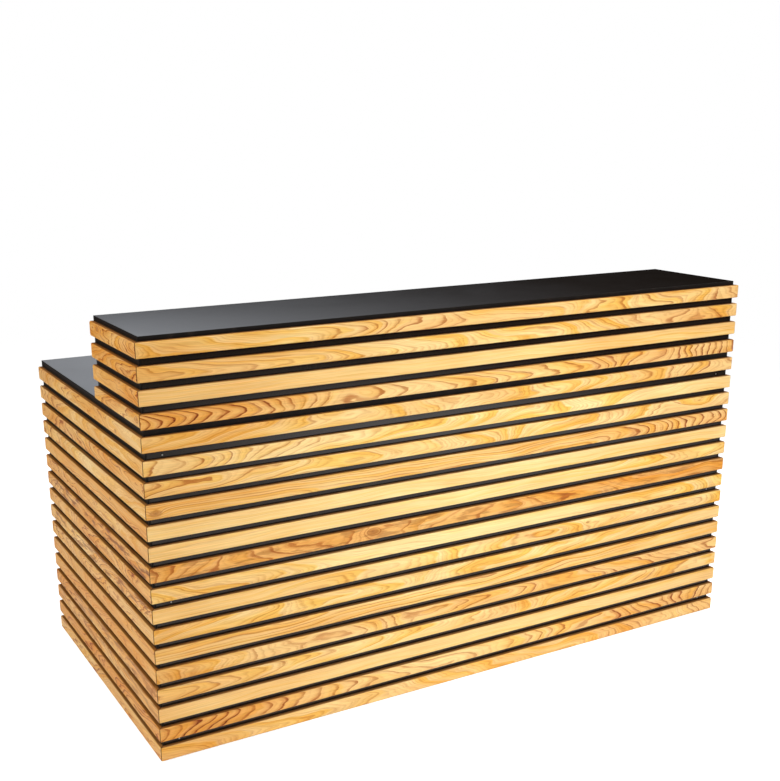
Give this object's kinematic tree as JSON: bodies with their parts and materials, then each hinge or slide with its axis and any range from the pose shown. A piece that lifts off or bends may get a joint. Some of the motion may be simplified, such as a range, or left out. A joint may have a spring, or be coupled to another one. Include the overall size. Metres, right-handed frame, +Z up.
{
  "type": "folding bar counter",
  "caption": "Slatted pine bar counter with a black lift-off worktop, a raised bar shelf on it, and hinged ends that fold flat behind the front.",
  "frame": {"origin": "on the floor, under the middle of the counter's bounding box", "axes": "+X along the slatted front to the guest's right as seen from the front, +Y from the slatted front to the server's side, +Z up"},
  "size_m": [1.984, 0.987, 1.1325],
  "materials": {
    "varnished_pine": "satin varnish",
    "black_board": "smooth black film on plywood",
    "zinc_plated_steel": "zinc plated",
    "beech_dowel": "bare",
    "glide_plastic": "moulded",
    "nickel_magnet": "nickel plated"
  },
  "bodies": {
    "front": {"front_panel": "black_board", "front_slat_05": "varnished_pine", "front_slat_06": "varnished_pine", "front_slat_07": "varnished_pine", "front_slat_08": "varnished_pine", "front_slat_09": "varnished_pine", "front_slat_10": "varnished_pine", "front_slat_11": "varnished_pine", "front_slat_12": "varnished_pine", "front_slat_13": "varnished_pine", "front_slat_14": "varnished_pine", "front_slat_15": "varnished_pine", "front_slat_16": "varnished_pine", "front_slat_17": "varnished_pine", "front_slat_18": "varnished_pine", "front_slat_19": "varnished_pine", "front_slat_20": "varnished_pine", "left_hinge_front_leaf": "zinc_plated_steel", "left_hinge_pin": "zinc_plated_steel", "right_hinge_front_leaf": "zinc_plated_steel", "right_hinge_pin": "zinc_plated_steel", "front_left_glide": "glide_plastic", "front_middle_glide": "glide_plastic", "front_right_glide": "glide_plastic", "left_worktop_dowel": "beech_dowel", "right_worktop_dowel": "beech_dowel"},
    "left_end": {"left_end_panel": "black_board", "left_end_cladding": "varnished_pine", "left_hinge_end_leaf": "zinc_plated_steel", "left_end_magnet": "nickel_magnet", "left_end_glide": "glide_plastic"},
    "right_end": {"right_end_panel": "black_board", "right_end_cladding": "varnished_pine", "right_hinge_end_leaf": "zinc_plated_steel", "right_end_magnet": "nickel_magnet", "right_end_glide": "glide_plastic"},
    "worktop": {"worktop": "black_board", "left_strike_plate": "zinc_plated_steel", "right_strike_plate": "zinc_plated_steel", "left_riser_dowel": "beech_dowel", "right_riser_dowel": "beech_dowel"},
    "riser": {"riser_panel": "black_board", "riser_slat_01": "varnished_pine", "riser_slat_02": "varnished_pine", "riser_slat_03": "varnished_pine", "riser_slat_04": "varnished_pine", "riser_left_hinge_front_leaf": "zinc_plated_steel", "riser_left_hinge_pin": "zinc_plated_steel", "riser_right_hinge_front_leaf": "zinc_plated_steel", "riser_right_hinge_pin": "zinc_plated_steel", "left_bar_top_dowel": "beech_dowel", "right_bar_top_dowel": "beech_dowel"},
    "riser_left_end": {"riser_left_end_panel": "black_board", "riser_left_end_cladding": "varnished_pine", "riser_left_hinge_end_leaf": "zinc_plated_steel"},
    "riser_right_end": {"riser_right_end_panel": "black_board", "riser_right_end_cladding": "varnished_pine", "riser_right_hinge_end_leaf": "zinc_plated_steel"},
    "bar_top": {"bar_top": "black_board"}
  },
  "joints": [
    {"name": "left_end_fold", "type": "hinge", "parent": "front", "child": "left_end", "pos_m": [-0.9582, -0.4597, 0], "axis": [0, 0, -1], "range_deg": [0, 90]},
    {"name": "right_end_fold", "type": "hinge", "parent": "front", "child": "right_end", "pos_m": [0.9582, -0.4597, 0], "axis": [0, 0, 1], "range_deg": [0, 90]},
    {"name": "worktop_lift", "type": "slide", "parent": "front", "child": "worktop", "axis": [0, 0, 1], "range_m": [0, 0.3]},
    {"name": "riser_lift", "type": "slide", "parent": "worktop", "child": "riser", "axis": [0, 0, 1], "range_m": [0, 0.25]},
    {"name": "riser_left_end_fold", "type": "hinge", "parent": "riser", "child": "riser_left_end", "pos_m": [-0.9582, -0.4597, 0.905], "axis": [0, 0, -1], "range_deg": [0, 90]},
    {"name": "riser_right_end_fold", "type": "hinge", "parent": "riser", "child": "riser_right_end", "pos_m": [0.9582, -0.4597, 0.905], "axis": [0, 0, 1], "range_deg": [0, 90]},
    {"name": "bar_top_lift", "type": "slide", "parent": "riser", "child": "bar_top", "axis": [0, 0, 1], "range_m": [0, 0.2]}
  ]
}
